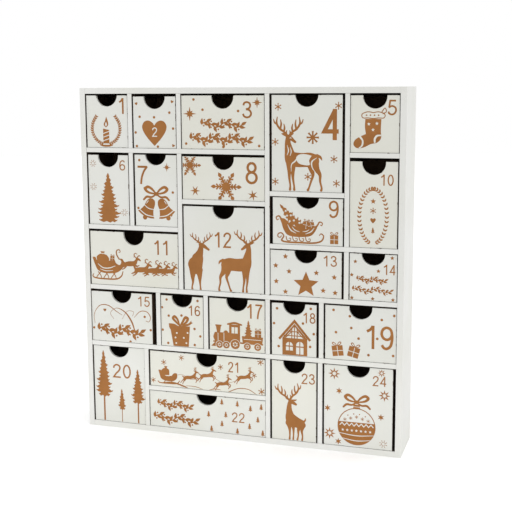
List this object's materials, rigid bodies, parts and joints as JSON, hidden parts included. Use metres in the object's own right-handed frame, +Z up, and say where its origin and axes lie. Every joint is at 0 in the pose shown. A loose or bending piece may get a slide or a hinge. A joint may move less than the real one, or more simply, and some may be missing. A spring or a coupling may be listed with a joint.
{
  "type": "advent calendar",
  "caption": "Shallow white wooden cabinet divided into cells of many sizes, each with a loose printed drawer that pulls out by a half-round finger notch.",
  "frame": {"origin": "middle of the footprint, on the surface that the calendar stands on", "axes": "+Z up, +X to the right seen from the front, the drawers open towards -Y"},
  "size_m": [0.318, 0.056, 0.34],
  "materials": {
    "white_board": "satin white paint on fibreboard",
    "drawer_front": "satin white paint with a copper-brown print",
    "drawer_tray": "dark stained fibreboard",
    "raw_board": "bare hardboard",
    "steel": "bright steel"
  },
  "bodies": {
    "cabinet": {"left_side": "white_board", "right_side": "white_board", "top_panel": "white_board", "bottom_panel": "white_board", "back_panel": "raw_board", "centre_divider": "white_board", "middle_shelf": "white_board", "lower_shelf": "white_board", "upper_dividers": "white_board", "lower_dividers": "white_board", "short_shelves": "white_board", "back_panel_brads": "steel"},
    "drawer_01": {"drawer_01_front": "drawer_front", "drawer_01_tray": "drawer_tray"},
    "drawer_02": {"drawer_02_front": "drawer_front", "drawer_02_tray": "drawer_tray"},
    "drawer_03": {"drawer_03_front": "drawer_front", "drawer_03_tray": "drawer_tray"},
    "drawer_04": {"drawer_04_front": "drawer_front", "drawer_04_tray": "drawer_tray"},
    "drawer_05": {"drawer_05_front": "drawer_front", "drawer_05_tray": "drawer_tray"},
    "drawer_06": {"drawer_06_front": "drawer_front", "drawer_06_tray": "drawer_tray"},
    "drawer_07": {"drawer_07_front": "drawer_front", "drawer_07_tray": "drawer_tray"},
    "drawer_08": {"drawer_08_front": "drawer_front", "drawer_08_tray": "drawer_tray"},
    "drawer_09": {"drawer_09_front": "drawer_front", "drawer_09_tray": "drawer_tray"},
    "drawer_10": {"drawer_10_front": "drawer_front", "drawer_10_tray": "drawer_tray"},
    "drawer_11": {"drawer_11_front": "drawer_front", "drawer_11_tray": "drawer_tray"},
    "drawer_12": {"drawer_12_front": "drawer_front", "drawer_12_tray": "drawer_tray"},
    "drawer_13": {"drawer_13_front": "drawer_front", "drawer_13_tray": "drawer_tray"},
    "drawer_14": {"drawer_14_front": "drawer_front", "drawer_14_tray": "drawer_tray"},
    "drawer_15": {"drawer_15_front": "drawer_front", "drawer_15_tray": "drawer_tray"},
    "drawer_16": {"drawer_16_front": "drawer_front", "drawer_16_tray": "drawer_tray"},
    "drawer_17": {"drawer_17_front": "drawer_front", "drawer_17_tray": "drawer_tray"},
    "drawer_18": {"drawer_18_front": "drawer_front", "drawer_18_tray": "drawer_tray"},
    "drawer_19": {"drawer_19_front": "drawer_front", "drawer_19_tray": "drawer_tray"},
    "drawer_20": {"drawer_20_front": "drawer_front", "drawer_20_tray": "drawer_tray"},
    "drawer_21": {"drawer_21_front": "drawer_front", "drawer_21_tray": "drawer_tray"},
    "drawer_22": {"drawer_22_front": "drawer_front", "drawer_22_tray": "drawer_tray"},
    "drawer_23": {"drawer_23_front": "drawer_front", "drawer_23_tray": "drawer_tray"},
    "drawer_24": {"drawer_24_front": "drawer_front", "drawer_24_tray": "drawer_tray"}
  },
  "joints": [
    {"name": "drawer_01_slide", "type": "slide", "parent": "cabinet", "child": "drawer_01", "axis": [0, -1, 0], "range_m": [0, 0.042]},
    {"name": "drawer_02_slide", "type": "slide", "parent": "cabinet", "child": "drawer_02", "axis": [0, -1, 0], "range_m": [0, 0.042]},
    {"name": "drawer_03_slide", "type": "slide", "parent": "cabinet", "child": "drawer_03", "axis": [0, -1, 0], "range_m": [0, 0.042]},
    {"name": "drawer_04_slide", "type": "slide", "parent": "cabinet", "child": "drawer_04", "axis": [0, -1, 0], "range_m": [0, 0.042]},
    {"name": "drawer_05_slide", "type": "slide", "parent": "cabinet", "child": "drawer_05", "axis": [0, -1, 0], "range_m": [0, 0.042]},
    {"name": "drawer_06_slide", "type": "slide", "parent": "cabinet", "child": "drawer_06", "axis": [0, -1, 0], "range_m": [0, 0.042]},
    {"name": "drawer_07_slide", "type": "slide", "parent": "cabinet", "child": "drawer_07", "axis": [0, -1, 0], "range_m": [0, 0.042]},
    {"name": "drawer_08_slide", "type": "slide", "parent": "cabinet", "child": "drawer_08", "axis": [0, -1, 0], "range_m": [0, 0.042]},
    {"name": "drawer_09_slide", "type": "slide", "parent": "cabinet", "child": "drawer_09", "axis": [0, -1, 0], "range_m": [0, 0.042]},
    {"name": "drawer_10_slide", "type": "slide", "parent": "cabinet", "child": "drawer_10", "axis": [0, -1, 0], "range_m": [0, 0.042]},
    {"name": "drawer_11_slide", "type": "slide", "parent": "cabinet", "child": "drawer_11", "axis": [0, -1, 0], "range_m": [0, 0.042]},
    {"name": "drawer_12_slide", "type": "slide", "parent": "cabinet", "child": "drawer_12", "axis": [0, -1, 0], "range_m": [0, 0.042]},
    {"name": "drawer_13_slide", "type": "slide", "parent": "cabinet", "child": "drawer_13", "axis": [0, -1, 0], "range_m": [0, 0.042]},
    {"name": "drawer_14_slide", "type": "slide", "parent": "cabinet", "child": "drawer_14", "axis": [0, -1, 0], "range_m": [0, 0.042]},
    {"name": "drawer_15_slide", "type": "slide", "parent": "cabinet", "child": "drawer_15", "axis": [0, -1, 0], "range_m": [0, 0.042]},
    {"name": "drawer_16_slide", "type": "slide", "parent": "cabinet", "child": "drawer_16", "axis": [0, -1, 0], "range_m": [0, 0.042]},
    {"name": "drawer_17_slide", "type": "slide", "parent": "cabinet", "child": "drawer_17", "axis": [0, -1, 0], "range_m": [0, 0.042]},
    {"name": "drawer_18_slide", "type": "slide", "parent": "cabinet", "child": "drawer_18", "axis": [0, -1, 0], "range_m": [0, 0.042]},
    {"name": "drawer_19_slide", "type": "slide", "parent": "cabinet", "child": "drawer_19", "axis": [0, -1, 0], "range_m": [0, 0.042]},
    {"name": "drawer_20_slide", "type": "slide", "parent": "cabinet", "child": "drawer_20", "axis": [0, -1, 0], "range_m": [0, 0.042]},
    {"name": "drawer_21_slide", "type": "slide", "parent": "cabinet", "child": "drawer_21", "axis": [0, -1, 0], "range_m": [0, 0.042]},
    {"name": "drawer_22_slide", "type": "slide", "parent": "cabinet", "child": "drawer_22", "axis": [0, -1, 0], "range_m": [0, 0.042]},
    {"name": "drawer_23_slide", "type": "slide", "parent": "cabinet", "child": "drawer_23", "axis": [0, -1, 0], "range_m": [0, 0.042]},
    {"name": "drawer_24_slide", "type": "slide", "parent": "cabinet", "child": "drawer_24", "axis": [0, -1, 0], "range_m": [0, 0.042]}
  ]
}
